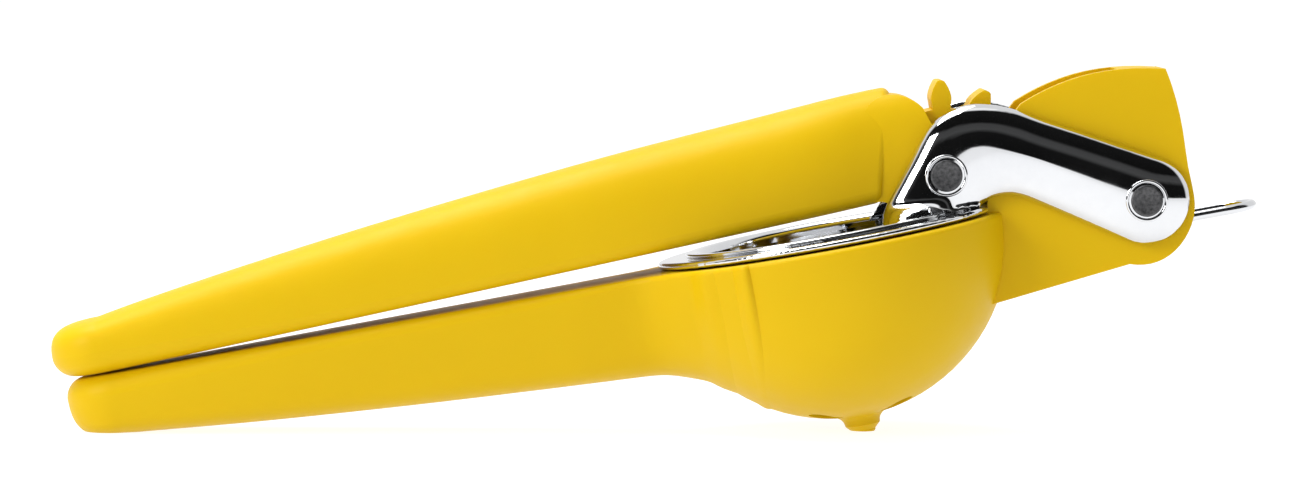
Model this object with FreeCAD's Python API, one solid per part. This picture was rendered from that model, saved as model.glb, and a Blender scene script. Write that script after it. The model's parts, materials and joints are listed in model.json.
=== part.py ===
"""Geared hand press for citrus halves.

A bowl on a handle takes the fruit. A cup on two arms presses into the bowl. The arms swing on
the front pin in the nose of the bowl, and the upper handle swings on the rear pin between the
arms. Teeth on the handle's hub roll round teeth fixed in the nose, so the cup is driven slowly
and with force.

Everything is drawn in a bowl frame: millimetres, X towards the nose, Z up, the rim plane at
Z 0 and the bowl's axis on X 0, Y 0. At the end each piece is tilted onto its two feet and moved
so that the row's origin is the middle of the bottom of the whole press.
"""

import FreeCAD, Part
import math
import os

V = FreeCAD.Vector
Y_AXIS = V(0, 1, 0)

# ---- driving dimensions, mm and degrees -------------------------------------------------
BOWL_R = 38.5              # outside of the bowl
BOWL_WALL = 3.2
NUB_TIP_Z = -42.4          # the point under the bowl that the press stands on
NUB_TIP_R, NUB_WAIST_R = 2.6, 3.8
NUB_TIP_ROUND = 0.8
NUB_BLEND_R = 2.4
RIM_ROUND = 1.0
DRAIN_SLOTS = 4
DRAIN_WIDTH = 4.4
DRAIN_FROM, DRAIN_TO = 6.4, 15.0

REST_TILT = 10.4           # nose up, so that nub and tail both touch the table

MODULE = 2.85
HANDLE_TEETH, NOSE_TEETH = 12, 18     # as whole gears; only sectors are made
PRESSURE_ANGLE = 20.0
BACKLASH = 0.34            # off each tooth, along the pitch circle
NOSE_ADDENDUM = 0.80       # shortened, so that the small gear isn't undercut
HANDLE_ADDENDUM = 1.0
DEDENDUM = 1.13
FRONT_PIN = V(67.2, 0, -3.0)
PIN_LINE = 162.5           # direction of the rear pin, seen from the front pin
FIRST_TOOTH = -8.0         # direction of the handle's lowest tooth, seen from the rear pin
SECTOR_FROM, SECTOR_TO = -17.0, 118.0  # the handle's toothed sector, seen from the rear pin
SWEEP_GAP = 0.55           # room round the handle's gear and hub where they pass through the cup
HANDLE_TOOTH_COUNT = 4
NOSE_TOOTH_COUNT = 5

ARM_INNER_Y, ARM_OUTER_Y = 12.0, 16.8
HUB_HALF_WIDTH = 11.2
GEAR_HALF_WIDTH = 8.0
SLOT_HALF_WIDTH = 8.4
HUB_R = 7.5
NECK_CROWN_FROM, NECK_TOP = 13.0, 30.6
PIN_R = 3.4
PIN_CLEARANCE = 0.05
PIN_SUNK = 0.15            # how far the pin's ends lie inside the arms' outer faces
PIN_ROUND = 0.5
BUSH_R = 5.2
WASHER_R = 7.0
WASHER_THICK = 0.7

RING_R = 37.3              # ring that the arms grow from, just above the bowl's rim
RING_BOTTOM, RING_TOP = 0.4, 1.7
RING_FRONT_GAP = 11.7      # half of the gap in the ring, between the arms
CUP_R = 29.0
CUP_WALL = 1.4
CUP_LIP_R, CUP_LIP_TOP = 31.0, 2.6
CUP_MOUTH_ROUND = 1.6

HANDLE_WALL = 2.6
COVER_THICK = 2.0
COVER_LAND = 0.6           # flat left between a cover and the rounding of the handle's edge
COVER_CORNER = 0.5
HOLLOW_FROM_TAIL = 11.0
LOOP_WIRE_R = 1.0
LOOP_HALF_WIDTH = 6.5
LOOP_Z = -8.8
LOOP_END = 91.6
ARM_END_R = 9.5
ARM_SLOPE = 31.0           # degrees, down towards the front pin
ARM_ROUND = 4.0
CREST = V(40.6, 0, 22.4)   # where the arm's round shoulder runs into its straight back
FLARE_FOOT_R = 34.2
SINK = 0.9                 # countersink round each pin
FOOT_CUT = 0.55            # how much of the nub's tip is ground flat
HANDLE_SWING = 60.0
LOWER_TAIL_X, UPPER_TAIL_X = -166.8, -168.4
THROUGH = 40.0             # half length of the cutters that pass right through the press

PITCH_HANDLE = MODULE * HANDLE_TEETH / 2
PITCH_NOSE = MODULE * NOSE_TEETH / 2
CENTRES = PITCH_HANDLE + PITCH_NOSE


# ---- small geometry helpers --------------------------------------------------------------
def polar(centre, radius, degrees):
    """A point in the XZ plane, at an angle above +X as seen with +X right and +Z up."""
    a = math.radians(degrees)
    return centre + V(radius * math.cos(a), 0, radius * math.sin(a))


def at(x, z):
    return V(x, 0, z)


def line(a, b):
    return Part.LineSegment(a, b).toShape()


def arc(a, middle, b):
    return Part.Arc(a, middle, b).toShape()


def arc_about(centre, radius, start, end):
    """An arc from the angle start to the angle end, either way round."""
    return arc(*[polar(centre, radius, d) for d in (start, (start + end) / 2, end)])


def spline(points):
    curve = Part.BSplineCurve()
    curve.interpolate(points)
    return curve.toShape()


def prism(edges, y0, y1):
    """The closed outline in the XZ plane, as a solid from y0 to y1."""
    face = Part.Face(Part.Wire(Part.__sortEdges__(edges)))
    face.translate(V(0, y0, 0))
    return face.extrude(V(0, y1 - y0, 0))


def polygon(points):
    return [line(a, b) for a, b in zip(points, points[1:] + points[:1])]


def y_cylinder(centre, radius, half_width):
    return Part.makeCylinder(radius, 2 * half_width, centre - V(0, half_width, 0), Y_AXIS)


def tube(centre, inner, outer, y0, y1):
    """A ring about a Y axis, from y0 to y1."""
    start = V(centre.x, y0, centre.z)
    return Part.makeCylinder(outer, y1 - y0, start, Y_AXIS).cut(
        Part.makeCylinder(inner, y1 - y0, start, Y_AXIS)
    )


def mirrored(shape):
    return shape.mirror(V(0, 0, 0), Y_AXIS)


def box_between(low, high):
    size = high - low
    return Part.makeBox(size.x, size.y, size.z, low)


def revolve(edges):
    face = Part.Face(Part.Wire(Part.__sortEdges__(edges)))
    return face.revolve(V(0, 0, 0), V(0, 0, 1), 360)


def soften(shape, radius, chosen):
    """Rounds the edges that chosen picks. An edge that can't take the radius stays sharp."""
    edges = [e for e in shape.Edges if chosen(e)]
    for scale in (1.0, 0.7, 0.45):
        try:
            done = shape.makeFillet(radius * scale, edges)
            if done.isValid() and done.Volume > 0:
                return done
        except Part.OCCError:
            pass
    print("soften: an edge set kept its sharp edges, radius", radius)
    return shape


def one_solid(shape):
    shape = shape.removeSplitter()
    solids = sorted(shape.Solids, key=lambda s: s.Volume)
    return solids[-1]


REAR_PIN = polar(FRONT_PIN, CENTRES, PIN_LINE)
FOOT = at(0, NUB_TIP_Z + FOOT_CUT)     # a point of the table's plane


# ---- gear teeth --------------------------------------------------------------------------
def involute(angle):
    return math.tan(angle) - angle


def tooth(centre, teeth, addendum, direction, half_width):
    """One involute tooth about centre, rooted a little below its root circle."""
    pitch = MODULE * teeth / 2
    base = pitch * math.cos(math.radians(PRESSURE_ANGLE))
    tip, root = pitch + addendum * MODULE, pitch - DEDENDUM * MODULE
    foot = root - 0.8
    half_at_pitch = (math.pi * MODULE / 2 - BACKLASH) / 2 / pitch
    turn = involute(math.radians(PRESSURE_ANGLE))

    def flank(side, steps=7):
        points = []
        for i in range(steps):
            r = base + (tip - base) * i / (steps - 1)
            half = half_at_pitch + turn - involute(math.acos(min(1.0, base / r)))
            points.append(polar(centre, r, direction + side * math.degrees(half)))
        return points

    low, high = flank(-1), flank(1)
    half_at_base = math.degrees(half_at_pitch + turn)
    foot_low = polar(centre, foot, direction - half_at_base)
    foot_high = polar(centre, foot, direction + half_at_base)
    top = arc(low[-1], polar(centre, tip, direction), high[-1])
    edges = [
        line(foot_low, low[0]),
        spline(low),
        top,
        spline(high[::-1]),
        line(high[0], foot_high),
        line(foot_high, foot_low),
    ]
    body = prism(edges, -half_width, half_width)
    tips = (low[-1], high[-1])

    def is_tip_edge(e):
        middle = e.valueAt((e.FirstParameter + e.LastParameter) / 2)
        return any(math.hypot(middle.x - t.x, middle.z - t.z) < 0.01 for t in tips) and abs(
            e.Vertexes[0].Point.y - e.Vertexes[-1].Point.y
        ) > half_width

    return soften(body, 0.75, is_tip_edge)


def handle_tooth_directions():
    step = 360.0 / HANDLE_TEETH
    return [FIRST_TOOTH + step * i for i in range(HANDLE_TOOTH_COUNT)]


def nose_tooth_directions():
    """Placed so that the handle's lowest tooth stands in the middle of a gap of the nose."""
    past_line = FIRST_TOOTH - (PIN_LINE - 180)
    gap = PIN_LINE - past_line * PITCH_HANDLE / PITCH_NOSE
    step = 360.0 / NOSE_TEETH
    return [gap + step / 2 - step * i for i in range(NOSE_TOOTH_COUNT)]


# ---- handles: a rounded section carried along X -------------------------------------------
def section(x, half_width, inner_z, outer_z, corner, fullness):
    """A closed section at x, flat at inner_z and crowned towards outer_z.

    fullness is 0.55 for half an ellipse, and more for a squarer crown.
    """
    up = 1 if outer_z > inner_z else -1
    base = inner_z + up * corner
    height = outer_z - base
    bend = corner * (1 - math.sqrt(0.5))
    edges = []
    for side in (1, -1):
        crown = Part.BezierCurve()
        crown.setPoles(
            [
                V(x, side * half_width, base),
                V(x, side * half_width, base + fullness * height),
                V(x, side * fullness * half_width, outer_z),
                V(x, 0, outer_z),
            ]
        )
        edge_arc = arc(
            V(x, side * (half_width - corner), inner_z),
            V(x, side * (half_width - bend), inner_z + up * bend),
            V(x, side * half_width, base),
        )
        edges += [crown.toShape(), edge_arc]
    edges.append(line(V(x, corner - half_width, inner_z), V(x, half_width - corner, inner_z)))
    return Part.Wire(Part.__sortEdges__(edges))


def between(table, x):
    """Smooth reading of (x, value) pairs, as a curve through them."""
    xs = [p[0] for p in table]
    i = max(0, min(len(xs) - 2, sum(1 for k in xs if k <= x) - 1))
    slopes = []
    for k in (i, i + 1):
        a, b = max(0, k - 1), min(len(xs) - 1, k + 1)
        slopes.append((table[b][1] - table[a][1]) / (xs[b] - xs[a]))
    span = xs[i + 1] - xs[i]
    t = (x - xs[i]) / span
    h = (2 * t**3 - 3 * t**2 + 1, t**3 - 2 * t**2 + t, 3 * t**2 - 2 * t**3, t**3 - t**2)
    return (
        h[0] * table[i][1] + h[1] * span * slopes[0] + h[2] * table[i + 1][1] + h[3] * span * slopes[1]
    )


def evenly(start, end, count):
    return [start + (end - start) * i / (count - 1) for i in range(count)]


def carried(stations, half_width, inner_z, outer_z, edge, fullness=lambda x: HANDLE_FULLNESS):
    """A handle body through the stations. edge is the rounding of its inner edges."""
    wires = [section(x, half_width(x), inner_z(x), outer_z(x), edge(x), fullness(x)) for x in stations]
    return Part.makeLoft(wires, True, False)


def hollow(stations, half_width, inner_z, outer_z, edge):
    """The space inside a handle, open at its inner face."""

    def inside(x):
        return half_width(x) - max(HANDLE_WALL, edge(x) + COVER_LAND)

    def crown(x):
        wall = HANDLE_WALL if outer_z(x) > inner_z(x) else -HANDLE_WALL
        return outer_z(x) - wall

    return carried(stations, inside, inner_z, crown, lambda x: COVER_CORNER)


def round_tail(x, half_width, inner_z, outer_z, edge):
    """The free end of a handle: half of its end section, swept round in plan."""
    wire = section(x, half_width(x), inner_z(x), outer_z(x), edge(x), HANDLE_FULLNESS)
    half = Part.Face(wire).common(box_between(V(x - 1, 0, -100), V(x + 1, 100, 100)))
    quarter = half.revolve(at(x, 0), V(0, 0, 1), 90)
    return quarter.fuse(mirrored(quarter))


HANDLE_FULLNESS = 0.76     # of the crown; see section()
ROUND_FULLNESS = 0.538
SQUARE_FROM, ROUND_FROM = -58.0, -26.0
LOWER_DEPTH = [(-167, -12.6), (-153, -13.9), (-128, -16.3), (-94, -18.9), (-60, -21.0), (-44, -21.9)]
LOWER_WIDTH = [(-167, 10.4), (-145, 11.6), (-110, 12.6), (-70, 13.4), (-44, 14.0)]
LOWER_EDGE = [(-167, 5.0), (-140, 3.6), (-110, 2.8), (-66, 2.4), (-44, 1.2), (-30, 1.0), (-18, 1.0)]
BLEND_FROM, BLEND_TO = -44.0, -24.0    # where the lower handle turns into the ball
BLEND_SLOPE = 0.05
BLEND_PROUD, BLEND_DIVE = 0.02, 0.07   # it then dives under the ball, so that the two cross cleanly
LOWER_END = -18.0
UPPER_TOP = [
    (-168, 10.2), (-148, 13.8), (-113, 18.8), (-78, 22.9), (-43, 26.3), (-8, 28.8), (8, 29.9), (24, 30.3),
]
UPPER_WIDTH = [
    (-168, 10.6), (-145, 11.8), (-110, 12.8), (-70, 13.8),
    (-30, 14.5), (-8, 14.6), (2, 14.2), (8, 13.0), (13, 11.9), (18, 11.4), (24, 11.3),
]
UPPER_EDGE = [(-168, 5.4), (-140, 3.8), (-110, 2.8), (24, 2.8)]
UPPER_FRONT = 24.0
UPPER_GAP_AT_TAIL = 0.35   # between the closed handles
UPPER_INNER_SLOPE = 2.05   # degrees, nose up, against the lower handle


def into_ball(x, size):
    """From size at BLEND_FROM to the ball's own radius at BLEND_TO, tangent to both."""
    ball = math.sqrt(BOWL_R**2 - max(x, BLEND_TO) ** 2)
    if x >= BLEND_TO:
        return ball + BLEND_PROUD - BLEND_DIVE * (x - BLEND_TO)
    span = BLEND_TO - BLEND_FROM
    t = (x - BLEND_FROM) / span
    grow = -BLEND_TO / ball
    return (
        (2 * t**3 - 3 * t**2 + 1) * size
        + (t**3 - 2 * t**2 + t) * span * BLEND_SLOPE
        + (3 * t**2 - 2 * t**3) * (ball + BLEND_PROUD)
        + (t**3 - t**2) * span * grow
    )


def lower_bottom(x):
    if x > BLEND_FROM:
        return -into_ball(x, -LOWER_DEPTH[-1][1])
    return between(LOWER_DEPTH, x)


def upper_inner(x):
    return UPPER_GAP_AT_TAIL + math.tan(math.radians(UPPER_INNER_SLOPE)) * (x + 158)


# ---- lower body --------------------------------------------------------------------------
def bowl_outside():
    """Half ball with the nub, solid, with its rim edge rounded."""
    middle = at(0, 0)
    rim = math.degrees(math.asin(RIM_ROUND / (BOWL_R - RIM_ROUND)))
    rim_centre = polar(middle, BOWL_R - RIM_ROUND, -rim)
    blend_x = NUB_WAIST_R + NUB_BLEND_R
    blend_turn = math.degrees(math.acos(blend_x / (BOWL_R + NUB_BLEND_R)))
    blend = polar(middle, BOWL_R + NUB_BLEND_R, -blend_turn)
    tip = at(NUB_TIP_R - NUB_TIP_ROUND, NUB_TIP_Z + NUB_TIP_ROUND)
    return revolve(
        [
            line(middle, at(rim_centre.x, 0)),
            arc_about(rim_centre, RIM_ROUND, 90, -rim),
            arc_about(middle, BOWL_R, -rim, -blend_turn),
            arc_about(blend, NUB_BLEND_R, 180 - blend_turn, 180),
            line(polar(blend, NUB_BLEND_R, 180), polar(tip, NUB_TIP_ROUND, 0)),
            arc_about(tip, NUB_TIP_ROUND, 0, -90),
            line(at(tip.x, NUB_TIP_Z), at(0, NUB_TIP_Z)),
            line(at(0, NUB_TIP_Z), middle),
        ]
    )


def lower_width(x):
    if x > BLEND_FROM:
        return into_ball(x, LOWER_WIDTH[-1][1])
    return between(LOWER_WIDTH, x)


def lower_inner(x):
    return 0.0


def lower_edge(x):
    return between(LOWER_EDGE, x)


def lower_fullness(x):
    """Squarish along the grip, and round where the handle runs into the ball."""
    share = min(1.0, max(0.0, (ROUND_FROM - x) / (ROUND_FROM - SQUARE_FROM)))
    return ROUND_FULLNESS + (HANDLE_FULLNESS - ROUND_FULLNESS) * share


def lower_handle_body():
    """The lower handle. Near the bowl it deepens and widens so that it runs into the ball."""
    start = LOWER_TAIL_X + lower_width(LOWER_TAIL_X)
    shape = (lower_width, lower_inner, lower_bottom, lower_edge)
    body = carried(evenly(start, LOWER_END, 36), *shape, lower_fullness)
    return body.fuse(round_tail(start, *shape))


def nose_outline():
    """Side view of the nose and its fan, going round from the bowl along the bottom."""
    p = FRONT_PIN
    under, inside = at(61.7, -16.0), at(20, -20.4)
    front = [under, polar(p, 12.4, -62), polar(p, 10.9, -20), at(77.6, 1.0), at(77.8, 9.0), at(76.5, 23.6)]
    fan = [polar(p, r, d) for r, d in ((28.1, 71), (28.1, 88), (29.2, 104), (31.0, 119), (33.3, 132))]
    back = [polar(p, 33.4, 172), at(33.2, -2), at(20, -8)]
    return [
        line(inside, under),
        spline(front),
        line(front[-1], fan[0]),
        spline(fan),
        arc(fan[-1], polar(p, 33.4, 152), back[0]),
        line(back[0], back[1]),
        line(back[1], back[2]),
        line(back[2], inside),
    ]


def nose_solid():
    return prism(nose_outline(), -HUB_HALF_WIDTH, HUB_HALF_WIDTH)


def gear_slot():
    """The space between the nose's side plates that the handle's teeth run in."""
    p = FRONT_PIN
    root = PITCH_NOSE - DEDENDUM * MODULE
    first, end, far = 172.0, nose_tooth_directions()[-1] + 5, 46.0
    outline = [
        arc_about(p, root, first, end),
        line(polar(p, root, end), polar(p, far, end)),
        line(polar(p, far, end), polar(p, far + 16, (first + end) / 2)),
        line(polar(p, far + 16, (first + end) / 2), polar(p, far, first)),
        line(polar(p, far, first), polar(p, root, first)),
    ]
    return prism(outline, -SLOT_HALF_WIDTH, SLOT_HALF_WIDTH)


def drain_slots():
    slots = []
    for i in range(DRAIN_SLOTS):
        length = DRAIN_TO - DRAIN_FROM - DRAIN_WIDTH
        block = Part.makeBox(length, DRAIN_WIDTH, 20, V(DRAIN_FROM + DRAIN_WIDTH / 2, -DRAIN_WIDTH / 2, -46))
        ends = [
            Part.makeCylinder(DRAIN_WIDTH / 2, 20, V(x, 0, -46))
            for x in (DRAIN_FROM + DRAIN_WIDTH / 2, DRAIN_TO - DRAIN_WIDTH / 2)
        ]
        slot = block.fuse(ends)
        slot.rotate(V(0, 0, 0), V(0, 0, 1), 45 + 360 / DRAIN_SLOTS * i)
        slots.append(slot)
    return slots


def nose_teeth():
    return [
        tooth(FRONT_PIN, NOSE_TEETH, NOSE_ADDENDUM, d, SLOT_HALF_WIDTH)
        for d in nose_tooth_directions()
    ]


def bowl_inside():
    inner = BOWL_R - BOWL_WALL
    ball = Part.makeSphere(inner)
    return ball.common(Part.makeCylinder(inner + 1, inner + 1, at(0, -inner - 1)))


def loop_wire():
    """The hanging loop: a wire bent to a U that stands in the nose."""
    x0, x1 = FRONT_PIN.x + 3.0, LOOP_END - LOOP_WIRE_R - LOOP_HALF_WIDTH
    z, w = LOOP_Z, LOOP_HALF_WIDTH
    path = Part.Wire(
        [
            line(V(x0, -w, z), V(x1, -w, z)),
            arc(V(x1, -w, z), V(x1 + w, 0, z), V(x1, w, z)),
            line(V(x1, w, z), V(x0, w, z)),
        ]
    )
    disc = Part.Wire(Part.makeCircle(LOOP_WIRE_R, V(x0, -w, z), V(1, 0, 0)))
    return path.makePipeShell([disc], True, False)


def lower_cavity():
    stations = evenly(LOWER_TAIL_X + HOLLOW_FROM_TAIL, -50, 10)
    return hollow(stations, lower_width, lower_inner, lower_bottom, lower_edge)


def ground_block():
    """Everything under the table, in the bowl frame."""
    block = box_between(V(-400, -200, -400), V(400, 200, 0))
    block.rotate(V(0, 0, 0), Y_AXIS, REST_TILT)
    return block.translated(FOOT)


def bowl_and_lower_handle():
    solid = bowl_outside().fuse([lower_handle_body(), nose_solid()])
    solid = solid.cut(gear_slot())
    solid = solid.fuse(nose_teeth())
    cuts = [bowl_inside(), lower_cavity(), loop_wire(), ground_block()]
    cuts.append(y_cylinder(FRONT_PIN, BUSH_R, THROUGH))
    return one_solid(solid.cut(cuts + drain_slots()))


def lower_handle_cover():
    slab = box_between(V(-200, -40, -COVER_THICK), V(0, 40, 0))
    return one_solid(lower_cavity().common(slab))


# ---- press -------------------------------------------------------------------------------
def gear_sweep():
    """The space between the arms that the handle's gear swings through while the press opens."""
    low = SECTOR_FROM - HANDLE_SWING - 2.5
    reach = PITCH_HANDLE + MODULE * HANDLE_ADDENDUM + SWEEP_GAP
    inner = polar(REAR_PIN, HUB_R, low - 28)
    outline = [
        arc_about(REAR_PIN, reach, low, 0),
        line(polar(REAR_PIN, reach, 0), REAR_PIN),
        line(REAR_PIN, inner),
        line(inner, polar(REAR_PIN, reach, low)),
    ]
    sweep = prism(outline, -GEAR_HALF_WIDTH - SWEEP_GAP, GEAR_HALF_WIDTH + SWEEP_GAP)
    return sweep.fuse(y_cylinder(REAR_PIN, HUB_R + SWEEP_GAP, HUB_HALF_WIDTH + SWEEP_GAP))


def press_cup():
    inner = CUP_R - CUP_WALL
    lip_mid = (RING_TOP + CUP_LIP_TOP) / 2
    lip_r = (CUP_LIP_TOP - RING_TOP) / 2
    middle = at(0, 0)
    lip = at(CUP_LIP_R - lip_r, lip_mid)
    mouth = at(inner + CUP_MOUTH_ROUND, CUP_LIP_TOP - CUP_MOUTH_ROUND)
    edges = [
        arc_about(middle, CUP_R, -90, 0),
        line(at(CUP_R, 0), at(CUP_R, RING_TOP)),
        line(at(CUP_R, RING_TOP), polar(lip, lip_r, -90)),
        arc_about(lip, lip_r, -90, 90),
        line(polar(lip, lip_r, 90), polar(mouth, CUP_MOUTH_ROUND, 90)),
        arc_about(mouth, CUP_MOUTH_ROUND, 90, 180),
        line(polar(mouth, CUP_MOUTH_ROUND, 180), at(inner, 0)),
        arc_about(middle, inner, 0, -90),
        line(at(0, -inner), at(0, -CUP_R)),
    ]
    return one_solid(revolve(edges).cut(gear_sweep()))


def arm_outline():
    """Side view of an arm, from its left foot over the top to the front pin and back."""
    p = FRONT_PIN
    down = 90 - ARM_SLOPE
    top_end, low_end = polar(p, ARM_END_R, down), polar(p, ARM_END_R, down - 180)
    foot_z = (RING_BOTTOM + RING_TOP) / 2 - 0.35
    back_foot, front_foot = at(11.8, foot_z), at(30.6, foot_z)
    shoulder = [back_foot, at(12.6, 6.4), at(19.0, 14.6), at(24.4, 20.6), at(31.5, 23.5), CREST]
    hollow_side = [at(42.0, 2.5), at(37.6, 3.6), at(33.2, 2.4), front_foot]
    return [
        spline(shoulder),
        line(CREST, top_end),
        arc_about(p, ARM_END_R, down, down - 180),
        line(low_end, hollow_side[0]),
        spline(hollow_side),
        line(front_foot, back_foot),
    ]


def arm_plate():
    plate = prism(arm_outline(), ARM_INNER_Y, ARM_OUTER_Y)
    return soften(plate, ARM_ROUND, lambda e: e.BoundBox.YMin > ARM_OUTER_Y - 0.01 and e.BoundBox.ZMax > 1.5)


def arm_flare():
    """The web that spreads from the foot of an arm out to the ring."""
    wires = []
    for x, top in ((10.8, 4.2), (14, 8.2), (18, 11), (23, 12), (28, 9), (30.6, 6)):
        foot = math.sqrt(FLARE_FOOT_R**2 - x**2)
        low = RING_BOTTOM + 0.5
        outer = Part.BezierCurve()
        outer.setPoles([V(x, ARM_OUTER_Y - 0.1, top), V(x, ARM_OUTER_Y + 0.4, 2.4), V(x, foot + 1.6, RING_TOP)])
        inner = Part.BezierCurve()
        inner.setPoles([V(x, ARM_INNER_Y, top), V(x, ARM_INNER_Y + 0.8, 1.8), V(x, foot - 2.2, low)])
        edges = [
            line(V(x, ARM_INNER_Y, top), V(x, ARM_OUTER_Y - 0.1, top)),
            outer.toShape(),
            line(V(x, foot + 1.6, RING_TOP), V(x, foot - 2.2, low)),
            inner.toShape(),
        ]
        wires.append(Part.Wire(Part.__sortEdges__(edges)))
    return Part.makeLoft(wires, True, False)


def press_arms():
    height = RING_TOP - RING_BOTTOM
    ring = Part.makeCylinder(RING_R, height, at(0, RING_BOTTOM))
    ring = soften(ring, 0.55, lambda e: e.Length > 100)
    ring = ring.cut(box_between(V(10, -RING_FRONT_GAP, -2), V(60, RING_FRONT_GAP, 6)))
    arm = arm_plate().fuse(arm_flare())
    solid = ring.fuse([arm, mirrored(arm)])
    cuts = [
        Part.makeCylinder(CUP_R, 4, at(0, -1)),
        Part.makeCylinder(CUP_LIP_R, CUP_LIP_TOP - RING_TOP, at(0, RING_TOP)),
    ]
    for pin in (FRONT_PIN, REAR_PIN):
        cuts.append(y_cylinder(pin, PIN_R, THROUGH))
        for side in (-1, 1):
            face = V(pin.x, side * (ARM_OUTER_Y + 0.01), pin.z)
            cuts.append(Part.makeCone(PIN_R + SINK, PIN_R, SINK, face, V(0, -side, 0)))
    return one_solid(solid.cut(cuts))


def pin(centre):
    body = y_cylinder(centre, PIN_R, ARM_OUTER_Y - PIN_SUNK)
    return soften(body, PIN_ROUND, lambda e: e.Length > PIN_R * math.pi and not e.isSeam(body.Faces[0]))


def washers(centre):
    y0 = HUB_HALF_WIDTH + 0.06
    one = tube(centre, PIN_R + PIN_CLEARANCE, WASHER_R, y0, y0 + WASHER_THICK)
    return Part.makeCompound([one, mirrored(one)])


def bush(centre):
    return tube(centre, PIN_R + PIN_CLEARANCE, BUSH_R, -HUB_HALF_WIDTH, HUB_HALF_WIDTH)


# ---- upper handle ------------------------------------------------------------------------
def upper_top(x):
    return between(UPPER_TOP, x)


def upper_width(x):
    return between(UPPER_WIDTH, x)


def upper_edge(x):
    return between(UPPER_EDGE, x)


def grip():
    """The grip, ended in front by a leaning wall that clears the arms while they open."""
    start = UPPER_TAIL_X + upper_width(UPPER_TAIL_X)
    shape = (upper_width, upper_inner, upper_top, upper_edge)
    body = carried(evenly(start, UPPER_FRONT, 22), *shape)
    foot, head = at(10.2, 0), at(20.0, 34)
    body = body.cut(prism(polygon([foot, at(60, 0), at(60, 34), head]), -THROUGH, THROUGH))
    body = soften(body, 1.8, lambda e: e.BoundBox.XMin > foot.x + 0.8 and e.Length > 3)
    return body.fuse(round_tail(start, *shape))


def above_neck():
    """What is cut away over the neck, so that the grip's crown runs on over it."""
    edge = 3.0
    reach = (0, 50)
    crown = carried(
        reach, lambda x: HUB_HALF_WIDTH, lambda x: NECK_CROWN_FROM - edge, lambda x: NECK_TOP, lambda x: edge
    )
    return box_between(V(reach[0], -THROUGH, NECK_CROWN_FROM), V(reach[1], THROUGH, 60)).cut(crown)


def neck():
    """The narrow part between the arms, with the hub round the rear pin."""
    c = REAR_PIN
    outline = [
        line(at(2, 8), at(12, 6.6)),
        line(at(12, 6.6), polar(c, HUB_R, 248)),
        arc(polar(c, HUB_R, 248), polar(c, HUB_R, -10), polar(c, HUB_R, 88)),
        line(polar(c, HUB_R, 88), polar(c, 15.0, 98)),
        spline([polar(c, 15.0, 98), at(21.8, 27.2), at(17.4, 28.6), at(12.0, 26.0)]),
        line(at(12.0, 26.0), at(2, 20)),
        line(at(2, 20), at(2, 8)),
    ]
    return prism(outline, -HUB_HALF_WIDTH, HUB_HALF_WIDTH).cut(above_neck())


def gear_sector():
    c = REAR_PIN
    root = PITCH_HANDLE - DEDENDUM * MODULE
    start, end = polar(c, root, SECTOR_FROM), polar(c, root, SECTOR_TO)
    behind, below = polar(c, 2, 180), polar(c, HUB_R - 0.5, SECTOR_FROM - 20)
    outline = [
        arc_about(c, root, SECTOR_FROM, SECTOR_TO),
        line(end, behind),
        line(behind, below),
        line(below, start),
    ]
    body = prism(outline, -GEAR_HALF_WIDTH, GEAR_HALF_WIDTH)
    directions = handle_tooth_directions()
    return body.fuse([tooth(c, HANDLE_TEETH, HANDLE_ADDENDUM, d, GEAR_HALF_WIDTH) for d in directions])


def upper_cavity():
    stations = evenly(UPPER_TAIL_X + HOLLOW_FROM_TAIL, -2, 12)
    return hollow(stations, upper_width, upper_inner, upper_top, upper_edge)


def upper_handle():
    solid = grip().fuse([neck(), gear_sector()])
    return one_solid(solid.cut([upper_cavity(), y_cylinder(REAR_PIN, BUSH_R, THROUGH)]))


def upper_handle_cover():
    slab = box_between(V(-40, -40, 0), V(200, 40, COVER_THICK))
    slab.rotate(V(0, 0, 0), Y_AXIS, -UPPER_INNER_SLOPE)
    slab.translate(at(UPPER_TAIL_X, upper_inner(UPPER_TAIL_X)))
    return one_solid(upper_cavity().common(slab))


# ---- the whole press ---------------------------------------------------------------------
PIECES = {
    "bowl_and_lower_handle": bowl_and_lower_handle,
    "lower_handle_cover": lower_handle_cover,
    "hang_loop": loop_wire,
    "front_pin_bush": lambda: bush(FRONT_PIN),
    "press_cup": press_cup,
    "press_arms": press_arms,
    "front_pin": lambda: pin(FRONT_PIN),
    "rear_pin": lambda: pin(REAR_PIN),
    "front_washers": lambda: washers(FRONT_PIN),
    "rear_washers": lambda: washers(REAR_PIN),
    "upper_handle": upper_handle,
    "upper_handle_cover": upper_handle_cover,
    "rear_pin_bush": lambda: bush(REAR_PIN),
}


def onto_table(shape, shift):
    """From the bowl frame to the row's frame: nose up by the rest tilt, feet on Z 0."""
    placed = shape.copy()
    placed.rotate(V(0, 0, 0), Y_AXIS, -REST_TILT)
    placed.translate(shift)
    return placed


def main():
    os.makedirs("parts", exist_ok=True)
    shapes = {name: make() for name, make in PIECES.items()}
    tilted = [onto_table(s, V(0, 0, 0)) for s in shapes.values()]
    box = FreeCAD.BoundBox()
    for s in tilted:
        box.add(s.optimalBoundingBox(False))
    table = FreeCAD.Rotation(Y_AXIS, -REST_TILT).multVec(FOOT).z
    shift = V(-box.Center.x, 0, -table)
    for name, shape in shapes.items():
        placed = onto_table(shape, shift)
        placed.exportStep(f"parts/{name}.step")
        print(f"{name:24s} valid {placed.isValid()} solids {len(placed.Solids)} volume {placed.Volume:9.1f}")
    for label, point in (("front pin", FRONT_PIN), ("rear pin", REAR_PIN), ("bowl centre", V(0, 0, 0))):
        spin = FreeCAD.Rotation(Y_AXIS, -REST_TILT)
        print(label, [round(k, 3) for k in spin.multVec(point) + shift])
    print("size", round(box.XLength, 2), round(box.YLength, 2), round(box.ZLength, 2))


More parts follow.
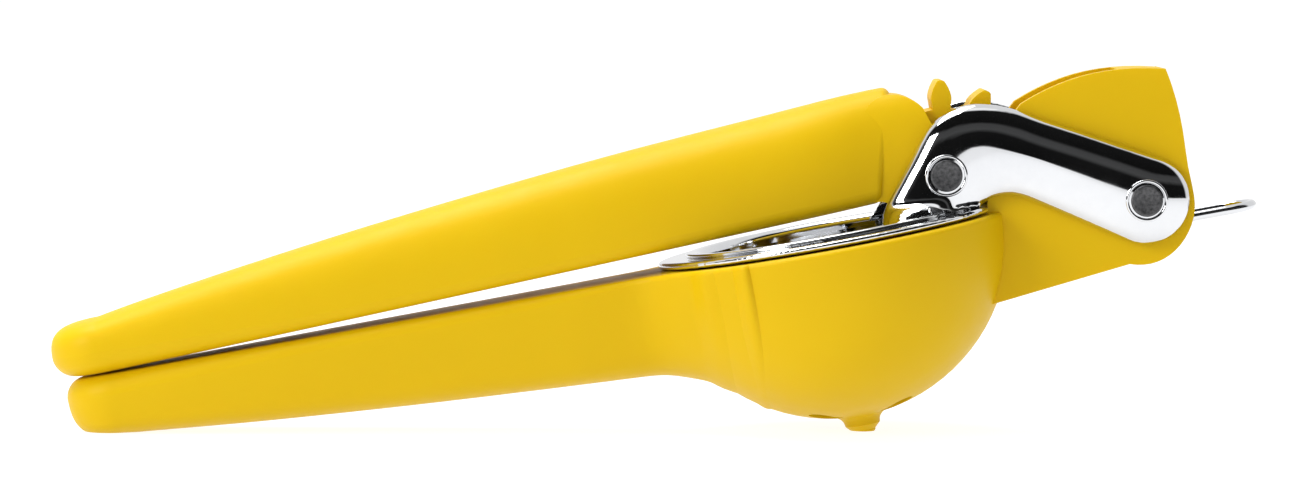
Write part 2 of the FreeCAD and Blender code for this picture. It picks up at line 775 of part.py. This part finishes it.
if __name__ == "__main__":
    main()
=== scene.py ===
import json
import math

import bmesh
import bpy
import numpy as np
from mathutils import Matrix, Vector


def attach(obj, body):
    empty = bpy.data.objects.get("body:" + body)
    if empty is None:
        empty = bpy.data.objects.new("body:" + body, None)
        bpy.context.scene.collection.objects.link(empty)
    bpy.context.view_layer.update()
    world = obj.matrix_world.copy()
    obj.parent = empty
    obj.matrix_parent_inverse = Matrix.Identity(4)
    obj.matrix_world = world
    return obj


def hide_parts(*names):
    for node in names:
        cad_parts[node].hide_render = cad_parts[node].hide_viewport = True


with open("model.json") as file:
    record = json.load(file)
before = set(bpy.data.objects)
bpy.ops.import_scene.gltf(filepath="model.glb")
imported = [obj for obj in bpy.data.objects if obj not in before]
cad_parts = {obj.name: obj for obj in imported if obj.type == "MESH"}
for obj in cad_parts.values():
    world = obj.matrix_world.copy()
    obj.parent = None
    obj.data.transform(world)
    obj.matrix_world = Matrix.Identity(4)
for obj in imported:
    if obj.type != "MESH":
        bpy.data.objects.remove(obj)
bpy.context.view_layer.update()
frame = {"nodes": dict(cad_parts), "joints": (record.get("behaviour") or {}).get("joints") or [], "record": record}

NODES = frame["nodes"]
JOINTS = {joint["name"]: joint for joint in frame["joints"]}

# The citrus press: materials for every CAD piece, cast arms and peened pins in place of the
# plain ones, and a white stage.

# ---- driving numbers, metres and degrees --------------------------------------------------
VIEW_ELEVATION = 3.4
VIEW_AZIMUTH = 0.0
CAMERA_DISTANCE = 1.10
FIELD_WIDTH = 0.2795          # width of the picture at the press
AIM = Vector((-0.0007, 0.0, 0.0385))
SENSOR_WIDTH_MM = 36

# The bowl frame: origin in the middle of the rim, X towards the nose, Z up out of the bowl.
REST_TILT = math.radians(10.4)
FRONT_PIN = Vector((0.0672, 0.0, -0.003))
FRONT_PIN_AT_REST = Vector(JOINTS["press_swing"]["pos_m"])
REAR_PIN_AT_REST = Vector(JOINTS["handle_swing"]["pos_m"])

RING_INNER, RING_OUTER = 0.02905, 0.0373
RING_BOTTOM, RING_TOP = 0.0004, 0.0018
RING_FRONT_GAP = 0.0117       # half the width of the ring's gap between the arms
RING_STEPS = 140

ARM_INNER_Y = 0.0120
ARM_EDGE_Y = 0.0130
ARM_DOME = 0.0040             # how far the middle of an arm stands out past its edge
ARM_HALF_WIDTH = 0.0092
ARM_END_R = 0.0095
ARM_SLOPE = 31.0              # how steeply the bar of an arm runs down to the front pin
ARM_GRID = 0.0006
OUTLINE_GAP = 0.0006
FLARE_TOP = 0.0058            # below this height the foot of an arm spreads out to the ring
FLARE_FOOT_R = 0.0312         # circle that the spread foot follows
FLARE_THICKNESS = 0.0048      # how much of the arm's thickness lies inside that circle
FLARE_POWER = 1.9
FOOT_UNTIL_X, FOOT_Z = 0.0312, 0.0008    # the foot ends on the ring; past it the arm hangs lower
CAST_GRID = 0.00034           # cells that join the ring and the arms into one casting
CAST_EASE_STEPS = 12

PIN_R = 0.0034
PIN_END_Y = 0.01738
PIN_EDGE_R = 0.00045
PIN_DISH = [(0.7, 0.00012), (0.35, 0.0002), (0.0, 0.00022)]    # share of the radius, depth
COLLAR_IN, COLLAR_OUT = 0.0038, 0.0045
COLLAR_DEPTH = 0.0011         # how far a collar reaches down from the crest of the arm
COLLAR_SINK, COLLAR_ROLL = 0.0001, 0.00026    # the rolled top: where it starts, and its height

NYLON_COLOURS = (0.65, 0.415, 0.0012), (0.68, 0.44, 0.0016)
CHROME_COLOURS = (0.69, 0.70, 0.72), (0.75, 0.76, 0.775)
STEEL_COLOURS = (0.06, 0.06, 0.062), (0.17, 0.17, 0.175)
BEARING_COLOURS = (0.62, 0.60, 0.53), (0.72, 0.70, 0.64)

FLOOR_SIZE = 60
FLOOR_COLOUR = (0.30, 0.30, 0.305)
FLOOR_GLOW = 0.86
ROOM_LEVEL, REFLECTED_ROOM = 0.56, 0.90
# Brightness of the room in front, as chrome shows it, from the horizon (0) to overhead (1).
CARD_LEVELS = [
    (0.0, 0.70), (0.012, 0.006), (0.28, 0.008), (0.38, 0.07),
    (0.50, 0.06), (0.56, 0.006), (0.93, 0.01), (0.97, 1.2),
]
CARD_FROM_Y, CARD_UNTIL_Y = 0.12, -0.10    # the card fades in over these directions, back to front
LIGHTS_AIM = (0, 0, 0.04)
KEY_AT, KEY_SIZE, KEY_POWER = (-0.35, 0.15, 1.1), (1.0, 0.6), 14
FILL_AT, FILL_SIZE, FILL_POWER = (-1.2, -0.9, 0.65), (0.6, 0.6), 11


# ---- node helpers -------------------------------------------------------------------------
def new_material(name):
    """A new material, its node tree and its shader."""
    material = bpy.data.materials.new(name)
    material.use_nodes = True
    tree = material.node_tree
    return material, tree, tree.nodes["Principled BSDF"]


def add(tree, kind, **values):
    """A new node, with its inputs or properties set by name."""
    node = tree.nodes.new(kind)
    for key, value in values.items():
        if key in node.inputs:
            node.inputs[key].default_value = value
        else:
            setattr(node, key, value)
    return node


def noise(tree, scale, detail=3.0, roughness=0.5):
    """Noise in the row frame, scale in features per metre."""
    place = add(tree, "ShaderNodeTexCoord")
    made = add(tree, "ShaderNodeTexNoise", Scale=scale, Detail=detail, Roughness=roughness)
    tree.links.new(place.outputs["Object"], made.inputs["Vector"])
    return made.outputs["Fac"]


def spread(tree, source, low, high, start=0.3, end=0.7):
    """The source mapped from start..end to low..high."""
    made = add(tree, "ShaderNodeMapRange")
    made.inputs["From Min"].default_value = start
    made.inputs["From Max"].default_value = end
    made.inputs["To Min"].default_value = low
    made.inputs["To Max"].default_value = high
    tree.links.new(source, made.inputs["Value"])
    return made.outputs["Result"]


def blend_colours(tree, factor, first, second):
    """The first colour to the second, by the factor. Each is three numbers or a socket."""
    made = add(tree, "ShaderNodeMix", data_type="RGBA")
    tree.links.new(factor, made.inputs[0])
    for colour, socket in ((first, made.inputs[6]), (second, made.inputs[7])):
        if isinstance(colour, tuple):
            socket.default_value = (*colour, 1)
        else:
            tree.links.new(colour, socket)
    return made.outputs[2]


def bump(tree, height, distance, strength, before=None):
    """A normal bent by the height, on top of another bump's normal."""
    made = add(tree, "ShaderNodeBump", Strength=strength, Distance=distance)
    tree.links.new(height, made.inputs["Height"])
    if before is not None:
        tree.links.new(before, made.inputs["Normal"])
    return made.outputs["Normal"]


def grey(level):
    return (level, level, level)


# ---- materials ----------------------------------------------------------------------------
def nylon():
    """Satin yellow nylon: fine moulded grain, slight flow marks, faint handling shine."""
    material, tree, shader = new_material("nylon")
    flow = noise(tree, 22, 2.0)
    colour = blend_colours(tree, spread(tree, flow, 0.0, 1.0), *NYLON_COLOURS)
    tree.links.new(colour, shader.inputs["Base Color"])
    wear = noise(tree, 160, 4.0, 0.6)
    tree.links.new(spread(tree, wear, 0.40, 0.50), shader.inputs["Roughness"])
    grain = noise(tree, 2600, 2.0)
    sink = noise(tree, 60, 1.0)
    waves = bump(tree, sink, 0.0006, 0.12)
    tree.links.new(bump(tree, grain, 0.00006, 0.16, waves), shader.inputs["Normal"])
    shader.inputs["Specular IOR Level"].default_value = 0.12
    shader.inputs["Subsurface Weight"].default_value = 0.12
    shader.inputs["Subsurface Radius"].default_value = (0.004, 0.002, 0.0003)
    shader.inputs["Subsurface Scale"].default_value = 1.0
    return material


def chrome():
    """Mirror chrome on a casting: a very slight ripple, wiping haze and hairlines."""
    material, tree, shader = new_material("chrome")
    shader.inputs["Metallic"].default_value = 1.0
    haze = noise(tree, 90, 5.0, 0.65)
    colour = blend_colours(tree, spread(tree, haze, 0.0, 1.0), *CHROME_COLOURS)
    tree.links.new(colour, shader.inputs["Base Color"])
    tree.links.new(spread(tree, haze, 0.03, 0.075), shader.inputs["Roughness"])
    ripple = noise(tree, 70, 1.0)
    hair = noise(tree, 900, 6.0, 0.7)
    waves = bump(tree, ripple, 0.0004, 0.10)
    tree.links.new(bump(tree, hair, 0.00001, 0.10, waves), shader.inputs["Normal"])
    return material


def steel():
    """Peened steel pin ends: dull, grey and pitted."""
    material, tree, shader = new_material("steel")
    shader.inputs["Metallic"].default_value = 1.0
    spots = noise(tree, 1400, 4.0, 0.6)
    colour = blend_colours(tree, spread(tree, spots, 0.0, 1.0), *STEEL_COLOURS)
    tree.links.new(colour, shader.inputs["Base Color"])
    tree.links.new(spread(tree, spots, 0.42, 0.58), shader.inputs["Roughness"])
    tree.links.new(bump(tree, spots, 0.00012, 0.5), shader.inputs["Normal"])
    return material


def bearing():
    """Off-white bearing plastic of the bushes and washers."""
    material, tree, shader = new_material("bearing")
    grease = noise(tree, 300, 3.0)
    colour = blend_colours(tree, spread(tree, grease, 0.0, 1.0), *BEARING_COLOURS)
    tree.links.new(colour, shader.inputs["Base Color"])
    tree.links.new(spread(tree, grease, 0.28, 0.5), shader.inputs["Roughness"])
    tree.links.new(bump(tree, noise(tree, 2000, 2.0), 0.00004, 0.2), shader.inputs["Normal"])
    return material


def paint_nodes():
    """Give every CAD piece the material of its slot, and return the materials by slot."""
    finishes = {"nylon": nylon(), "chrome": chrome(), "steel": steel(), "bearing": bearing()}
    for part in frame["record"]["subparts"]:
        node = NODES[part["node"]]
        node.data.materials.clear()
        node.data.materials.append(finishes[part["material_slot"]])
    return finishes


# ---- stage --------------------------------------------------------------------------------
def floor():
    """A pale floor that glows, so that it shows nearly white with faint shadows."""
    bpy.ops.mesh.primitive_plane_add(size=FLOOR_SIZE, location=(0, 0, 0))
    plane = bpy.context.object
    plane.name = "floor"
    material, tree, shader = new_material("pale_floor")
    shader.inputs["Base Color"].default_value = (*FLOOR_COLOUR, 1)
    shader.inputs["Roughness"].default_value = 0.85
    shader.inputs["Specular IOR Level"].default_value = 0.1
    shader.inputs["Emission Color"].default_value = (1, 1, 1, 1)
    shader.inputs["Emission Strength"].default_value = FLOOR_GLOW
    plane.data.materials.append(material)


def room():
    """A white room. Its reflection has a dark front with one grey streak, as black card gives chrome."""
    world = bpy.data.worlds.new("room")
    bpy.context.scene.world = world
    world.use_nodes = True
    tree = world.node_tree
    back = tree.nodes["Background"]
    back.inputs["Strength"].default_value = 1.0
    place = add(tree, "ShaderNodeTexCoord")
    split = add(tree, "ShaderNodeSeparateXYZ")
    tree.links.new(place.outputs["Generated"], split.inputs[0])
    ramp = add(tree, "ShaderNodeValToRGB")
    for _ in CARD_LEVELS[1:-1]:
        ramp.color_ramp.elements.new(0.5)
    for element, (height, level) in zip(ramp.color_ramp.elements, CARD_LEVELS):
        element.position = height
        element.color = (*grey(level), 1)
    tree.links.new(split.outputs["Z"], ramp.inputs["Fac"])
    in_front = spread(tree, split.outputs["Y"], 0.0, 1.0, CARD_FROM_Y, CARD_UNTIL_Y)
    reflected = blend_colours(tree, in_front, grey(REFLECTED_ROOM), ramp.outputs["Color"])
    path = add(tree, "ShaderNodeLightPath")
    shown = blend_colours(tree, path.outputs["Is Glossy Ray"], grey(ROOM_LEVEL), reflected)
    tree.links.new(shown, back.inputs["Color"])


def light(name, place, size, power):
    """A rectangular light that faces the press."""
    data = bpy.data.lights.new(name, "AREA")
    data.shape = "RECTANGLE"
    data.size, data.size_y = size
    data.energy = power
    lamp = bpy.data.objects.new(name, data)
    lamp.location = place
    lamp.rotation_euler = (Vector(LIGHTS_AIM) - Vector(place)).to_track_quat("-Z", "Y").to_euler()
    bpy.context.scene.collection.objects.link(lamp)


def camera():
    """The view from the near side, slightly from above."""
    data = bpy.data.cameras.new("camera")
    data.sensor_width = SENSOR_WIDTH_MM
    data.lens = SENSOR_WIDTH_MM * CAMERA_DISTANCE / FIELD_WIDTH
    data.clip_start, data.clip_end = 0.01, 100
    eye = bpy.data.objects.new("camera", data)
    a, e = math.radians(VIEW_AZIMUTH), math.radians(VIEW_ELEVATION)
    back = Vector((math.sin(a) * math.cos(e), -math.cos(a) * math.cos(e), math.sin(e)))
    eye.location = AIM + back * CAMERA_DISTANCE
    eye.rotation_euler = (-back).to_track_quat("-Z", "Y").to_euler()
    bpy.context.scene.collection.objects.link(eye)
    bpy.context.scene.camera = eye


# ---- new meshes ---------------------------------------------------------------------------
def to_row(point):
    """From the bowl frame to the row frame."""
    c, s = math.cos(REST_TILT), math.sin(REST_TILT)
    d = Vector(point) - FRONT_PIN
    return FRONT_PIN_AT_REST + Vector((d.x * c - d.z * s, d.y, d.x * s + d.z * c))


def through(points, steps=9):
    """A smooth open curve through 2-D points."""
    padded = [points[0]] + list(points) + [points[-1]]
    curve = []
    for i in range(1, len(padded) - 2):
        a, b, c, d = (np.array(padded[k]) for k in (i - 1, i, i + 1, i + 2))
        for k in range(steps):
            t = k / steps
            square = (2 * a - 5 * b + 4 * c - d) * t**2
            cube = (3 * b - a - 3 * c + d) * t**3
            curve.append(0.5 * (2 * b + (c - a) * t + square + cube))
    curve.append(np.array(points[-1]))
    return curve


def round_about(centre, radius, start, end, steps=26):
    """Points from one angle to another, in degrees."""
    angles = np.radians(np.linspace(start, end, steps))
    return [np.array((centre.x + radius * math.cos(a), centre.z + radius * math.sin(a))) for a in angles]


def evenly(points, gap):
    """The closed outline again, with its points an even gap apart."""
    p = np.array(points + [points[0]])
    along = np.concatenate([[0], np.cumsum(np.linalg.norm(np.diff(p, axis=0), axis=1))])
    marks = np.linspace(0, along[-1], int(along[-1] / gap), endpoint=False)
    return np.column_stack([np.interp(marks, along, p[:, k]) for k in (0, 1)])


def arm_outline():
    """Side view of an arm in the bowl frame, clockwise from the left of its foot.

    The foot runs on below the ring, so that the arm's dome doesn't close towards it.
    """
    mm = 0.001
    left = [
        (8.0, -9.0), (9.4, -0.6), (11.2, 3.2), (13.8, 7.0), (19.4, 14.0), (24.2, 20.0),
        (28.8, 22.8), (33.6, 23.7), (38.6, 22.9), (43.6, 20.8), (48.5, 18.0), (56.0, 14.0),
    ]
    right = [
        (42.4, 1.9), (39.6, 3.1), (36.2, 3.4), (32.9, 2.2),
        (30.6, -0.6), (29.0, -4.0), (28.2, -9.0),
    ]
    down = 90 - ARM_SLOPE
    points = through([(x * mm, z * mm) for x, z in left])
    points += round_about(FRONT_PIN, ARM_END_R, down, down - 180)
    points += through([(x * mm, z * mm) for x, z in right])
    return evenly(points, OUTLINE_GAP)


def nearest(points, outline):
    """For each point: the nearest point of the outline, how far that is, and whether it lies inside."""
    sides = np.roll(outline, -1, axis=0) - outline
    away = points[:, None, :] - outline[None, :, :]
    share = np.clip((away * sides).sum(axis=2) / (sides**2).sum(axis=1), 0, 1)
    gap = np.linalg.norm(away - share[:, :, None] * sides, axis=2)
    best = gap.argmin(axis=1)
    rows = np.arange(len(points))
    landed = outline[best] + share[rows, best][:, None] * sides[best]
    above = outline[None, :, 1] > points[:, 1:2]
    crosses = above != np.roll(above, -1, axis=1)
    rise = np.where(np.abs(sides[:, 1]) < 1e-12, 1e-12, sides[:, 1])
    met = outline[:, 0] + (points[:, 1:2] - outline[:, 1]) * sides[:, 0] / rise
    inside = (crosses & (met > points[:, 0:1])).sum(axis=1) % 2 == 1
    return landed, gap.min(axis=1), inside


def dome(depth):
    """Height of the arm's outer face: steep at its outline and level from ARM_HALF_WIDTH inwards."""
    share = np.minimum(depth / ARM_HALF_WIDTH, 1.0)
    return ARM_EDGE_Y + ARM_DOME * np.sqrt(1 - (1 - share) ** 2)


def flare(x, z):
    """How far the foot of an arm bends outwards."""
    foot = math.sqrt(max(0.0, FLARE_FOOT_R**2 - x**2))
    reach = max(0.0, foot - ARM_INNER_Y - FLARE_THICKNESS)
    drop = min(1.0, max(0.0, (FLARE_TOP - z) / (FLARE_TOP - RING_TOP)))
    return reach * drop**FLARE_POWER


def grid_cells(columns, rows):
    """The four corners of each cell of a grid, numbered up one column after another."""
    for i in range(columns - 1):
        for j in range(rows - 1):
            a = i * rows + j
            yield a, a + 1, a + rows + 1, a + rows


def join_sheets(mesh, sheets, cells):
    """Faces over the cells of both sheets, and a wall between the sheets along their open edges."""
    uses = {}
    for cell in cells:
        for sheet in sheets:
            mesh.faces.new([sheet[k] for k in cell])
        for ends in zip(cell, cell[1:] + cell[:1]):
            edge = tuple(sorted(ends))
            uses[edge] = uses.get(edge, 0) + 1
    for (a, b), count in uses.items():
        if count == 1:
            mesh.faces.new((sheets[0][a], sheets[0][b], sheets[1][b], sheets[1][a]))


def add_arm(mesh, side):
    """A bar with a domed outer face and a flat inner one, whose foot spreads towards the ring.

    Both faces are sheets on one grid. Grid points outside the outline are moved onto it.
    """
    outline = arm_outline()
    low, high = outline.min(axis=0) - ARM_GRID, outline.max(axis=0) + ARM_GRID
    across, up = (np.arange(low[k], high[k], ARM_GRID) for k in (0, 1))
    places = np.array([(x, z) for x in across for z in up])
    landed, depth, inside = nearest(places, outline)
    places[~inside] = landed[~inside]
    depth[~inside] = 0.0
    foot = (places[:, 0] < FOOT_UNTIL_X) & (places[:, 1] < FOOT_Z)
    places[foot, 1] = FOOT_Z
    sheets = []
    for heights in (np.full(len(places), ARM_INNER_Y), dome(depth)):
        points = [to_row((x, side * (y + flare(x, z)), z)) for (x, z), y in zip(places, heights)]
        sheets.append([mesh.verts.new(point) for point in points])
    cells = []
    for cell in grid_cells(len(across), len(up)):
        corners = list(cell)
        if inside[corners].any() and not foot[corners].all():
            cells.append(cell)
    join_sheets(mesh, sheets, cells)
    bmesh.ops.delete(mesh, geom=[v for v in mesh.verts if not v.link_faces], context="VERTS")


def add_ring(mesh):
    """The ring over the bowl's rim, open between the arms."""
    edge = (RING_TOP - RING_BOTTOM) / 2
    profile = [(RING_INNER, RING_BOTTOM), (RING_OUTER - edge, RING_BOTTOM)]
    for k in range(1, 6):
        a = math.radians(-90 + 30 * k)
        profile.append((RING_OUTER - edge + edge * math.cos(a), RING_BOTTOM + edge + edge * math.sin(a)))
    profile += [(RING_OUTER - edge, RING_TOP), (RING_INNER, RING_TOP)]
    start = math.asin(RING_FRONT_GAP / RING_INNER)
    loops = []
    for a in np.linspace(start, 2 * math.pi - start, RING_STEPS):
        loops.append([mesh.verts.new(to_row((r * math.cos(a), r * math.sin(a), z))) for r, z in profile])
    for low, high in zip(loops, loops[1:]):
        for i in range(len(profile)):
            j = (i + 1) % len(profile)
            mesh.faces.new((low[i], low[j], high[j], high[i]))
    mesh.faces.new(loops[0])
    mesh.faces.new(reversed(loops[-1]))


def new_object(name, mesh, finish, body):
    """A smooth piece from a bmesh, riding with one of the moving bodies."""
    bmesh.ops.recalc_face_normals(mesh, faces=mesh.faces)
    data = bpy.data.meshes.new(name)
    mesh.to_mesh(data)
    mesh.free()
    made = bpy.data.objects.new(name, data)
    bpy.context.scene.collection.objects.link(made)
    data.materials.append(finish)
    for face in data.polygons:
        face.use_smooth = True
    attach(made, body)
    return made


def add_lathe(mesh, centre, profile, side, steps=64):
    """A profile of (radius, y) turned about a pin's axis."""
    loops = []
    for k in range(steps):
        a = 2 * math.pi * k / steps
        loop = []
        for r, y in profile:
            loop.append(mesh.verts.new(centre + Vector((r * math.cos(a), side * y, r * math.sin(a)))))
        loops.append(loop)
    for k in range(steps):
        low, high = loops[k], loops[(k + 1) % steps]
        for i in range(len(profile) - 1):
            mesh.faces.new((low[i], low[i + 1], high[i + 1], high[i]))


def press_arms(finish):
    """Ring and arms as one soft casting: joined on a fine grid, then eased."""
    mesh = bmesh.new()
    add_ring(mesh)
    add_arm(mesh, 1)
    add_arm(mesh, -1)
    made = new_object("press_arms_cast", mesh, finish, "press")
    grid = made.modifiers.new("join", "REMESH")
    grid.mode = "VOXEL"
    grid.voxel_size = CAST_GRID * 1.0
    grid.use_smooth_shade = True
    ease = made.modifiers.new("ease", "SMOOTH")
    ease.factor = 0.5
    ease.iterations = CAST_EASE_STEPS
    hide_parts("press_arms")


def pin_collars(finish):
    """The bright rolled edge round each pin's hole, both sides."""
    crest = ARM_EDGE_Y + ARM_DOME
    foot = crest - COLLAR_DEPTH
    half = (COLLAR_OUT - COLLAR_IN) / 2
    profile = [(COLLAR_IN, foot)]
    for k in range(9):
        a = math.pi * (1 - k / 8)
        r = COLLAR_IN + half * (1 + math.cos(a))
        profile.append((r, crest - COLLAR_SINK + COLLAR_ROLL * math.sin(a)))
    profile.append((COLLAR_OUT, foot))
    mesh = bmesh.new()
    for centre in (FRONT_PIN_AT_REST, REAR_PIN_AT_REST):
        for side in (-1, 1):
            add_lathe(mesh, centre, profile, side)
    new_object("pin_hole_edges", mesh, finish, "press")


def pins(finish):
    """The peened pins: a dull, slightly dished end inside a rounded edge."""
    profile = [(PIN_R, 0.0)]
    for k in range(7):
        a = math.pi / 2 * k / 6
        r = PIN_R - PIN_EDGE_R + PIN_EDGE_R * math.cos(a)
        profile.append((r, PIN_END_Y - PIN_EDGE_R + PIN_EDGE_R * math.sin(a)))
    profile += [(PIN_R * share, PIN_END_Y - depth) for share, depth in PIN_DISH]
    for name, centre in (("front_pin", FRONT_PIN_AT_REST), ("rear_pin", REAR_PIN_AT_REST)):
        mesh = bmesh.new()
        for side in (-1, 1):
            add_lathe(mesh, centre, profile, side)
        bmesh.ops.remove_doubles(mesh, verts=mesh.verts, dist=1e-6)
        made = new_object(name + "_peened", mesh, finish, "press")
        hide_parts(name)


FINISHES = paint_nodes()
press_arms(FINISHES["chrome"])
pin_collars(FINISHES["chrome"])
pins(FINISHES["steel"])
floor()
room()
light("key", KEY_AT, KEY_SIZE, KEY_POWER)
light("fill", FILL_AT, FILL_SIZE, FILL_POWER)
camera()
scene = bpy.context.scene
scene.view_settings.view_transform = "Standard"
scene.view_settings.look = "None"
